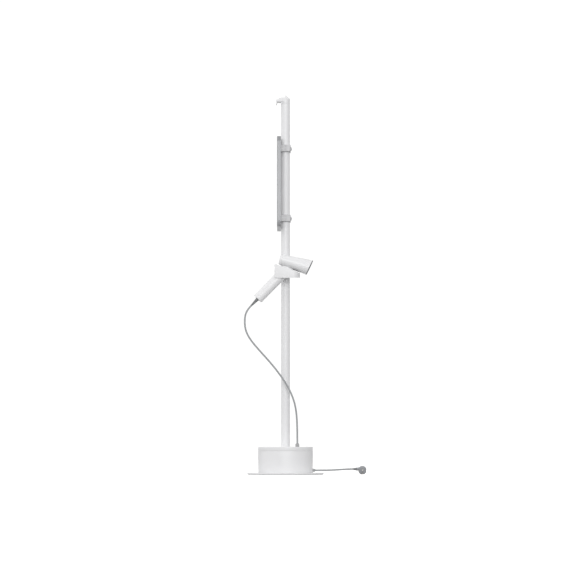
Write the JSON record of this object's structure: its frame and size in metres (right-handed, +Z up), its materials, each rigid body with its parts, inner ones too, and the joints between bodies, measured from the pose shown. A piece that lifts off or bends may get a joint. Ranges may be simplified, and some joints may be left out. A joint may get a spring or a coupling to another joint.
{
  "type": "hair dryer station",
  "caption": "Floor-standing hair dryer station: round pole on a weighted drum, with coat hook, sliding swivel mirror, corded hand dryer in a fork, and a mains lead with plug.",
  "frame": {"origin": "middle of the floor mat's underside, on the pole's axis", "axes": "+Z up the pole; the user stands on the -X side, facing the mirror; the dryer hangs on the -Y side; the mains lead leaves towards +X"},
  "size_m": [0.5607, 0.35, 1.7585],
  "materials": {
    "white_metal": "satin white powder coat",
    "mat_rubber": "matt",
    "ballast_iron": "painted casting",
    "socket_steel": "zinc plated",
    "screw_steel": "zinc plated",
    "box_plastic": "matt",
    "cord_grey": "matt PVC",
    "gland_grey": "moulded nylon",
    "dryer_white": "satin moulded",
    "fork_white": "satin moulded",
    "dark_grey": "matt moulded",
    "plug_grey": "moulded PVC",
    "pin_metal": "nickel plated",
    "frame_aluminium": "anodised",
    "mirror_silver": "polished",
    "backing_grey": "matt",
    "clamp_silver": "silver-grey moulded",
    "liner_grey": "acetal",
    "motor_steel": "drawn can",
    "mount_plastic": "matt",
    "mica": "mica card",
    "coil_wire": "resistance wire"
  },
  "bodies": {
    "stand": {"floor_mat": "mat_rubber", "floor_plate": "white_metal", "ballast_disc": "ballast_iron", "pole_socket": "socket_steel", "socket_bolts": "screw_steel", "drum_shell": "white_metal", "drum_screws": "screw_steel", "drum_lid": "white_metal", "lid_posts": "screw_steel", "lid_screws": "screw_steel", "terminal_box": "box_plastic", "terminal_box_cover": "box_plastic", "terminal_block": "box_plastic", "inner_leads": "cord_grey", "mains_gland": "gland_grey", "dryer_gland": "gland_grey", "gland_nuts": "gland_grey", "pole_tube": "white_metal", "top_cap": "white_metal", "coat_hook": "white_metal", "hook_screws": "screw_steel", "holder_fork": "fork_white", "holder_pad": "mat_rubber", "holder_collar": "fork_white", "holder_clamp": "fork_white", "holder_screws": "screw_steel", "dryer_cord": "cord_grey", "mains_cord": "cord_grey", "plug_boot": "dark_grey", "plug_body": "plug_grey", "plug_pins": "pin_metal"},
    "mirror_slider": {"upper_clamp_liner": "liner_grey", "lower_clamp_liner": "liner_grey"},
    "mirror": {"mirror_frame": "frame_aluminium", "mirror_glass": "mirror_silver", "mirror_backing": "backing_grey", "upper_clamp_front": "clamp_silver", "lower_clamp_front": "clamp_silver", "upper_clamp_rear": "clamp_silver", "lower_clamp_rear": "clamp_silver", "clamp_screws": "screw_steel"},
    "upper_knob": {"upper_clamp_knob": "clamp_silver"},
    "lower_knob": {"lower_clamp_knob": "clamp_silver"},
    "dryer": {"barrel_shell": "dryer_white", "outlet_ring": "dark_grey", "outlet_grille": "dark_grey", "rear_grille": "dryer_white", "motor": "motor_steel", "motor_mount": "mount_plastic", "heater_frame": "mica", "heater_coils": "coil_wire", "handle_near": "dryer_white", "handle_far": "dryer_white", "handle_screws": "screw_steel", "switch_body": "box_plastic", "button_spring": "coil_wire", "cord_boot": "dark_grey"},
    "fan": {"fan_wheel": "mount_plastic"},
    "button": {"button": "dryer_white"}
  },
  "joints": [
    {"name": "mirror_height", "type": "slide", "parent": "stand", "child": "mirror_slider", "axis": [0, 0, 1], "range_m": [-0.04, 0.12]},
    {"name": "mirror_swivel", "type": "hinge", "parent": "mirror_slider", "child": "mirror", "pos_m": [0, 0, 1.341], "axis": [0, 0, 1], "continuous": true},
    {"name": "upper_knob_turn", "type": "hinge", "parent": "mirror", "child": "upper_knob", "pos_m": [0.024, 0, 1.506], "axis": [1, 0, 0], "continuous": true},
    {"name": "lower_knob_turn", "type": "hinge", "parent": "mirror", "child": "lower_knob", "pos_m": [0.024, 0, 1.179], "axis": [1, 0, 0], "continuous": true},
    {"name": "dryer_lift", "type": "slide", "parent": "stand", "child": "dryer", "axis": [-0.866, 0, 0.5], "range_m": [0, 0.14], "deforming": ["dryer_cord"]},
    {"name": "fan_spin", "type": "hinge", "parent": "dryer", "child": "fan", "pos_m": [-0.0184, -0.058, 0.9817], "axis": [0.9627, 0, -0.2706], "continuous": true},
    {"name": "button_press", "type": "slide", "parent": "dryer", "child": "button", "axis": [0, 1, 0], "range_m": [0, 0.001], "stiffness_N_per_m": 1500, "springref_m": -0.001, "deforming": ["button_spring"]}
  ]
}
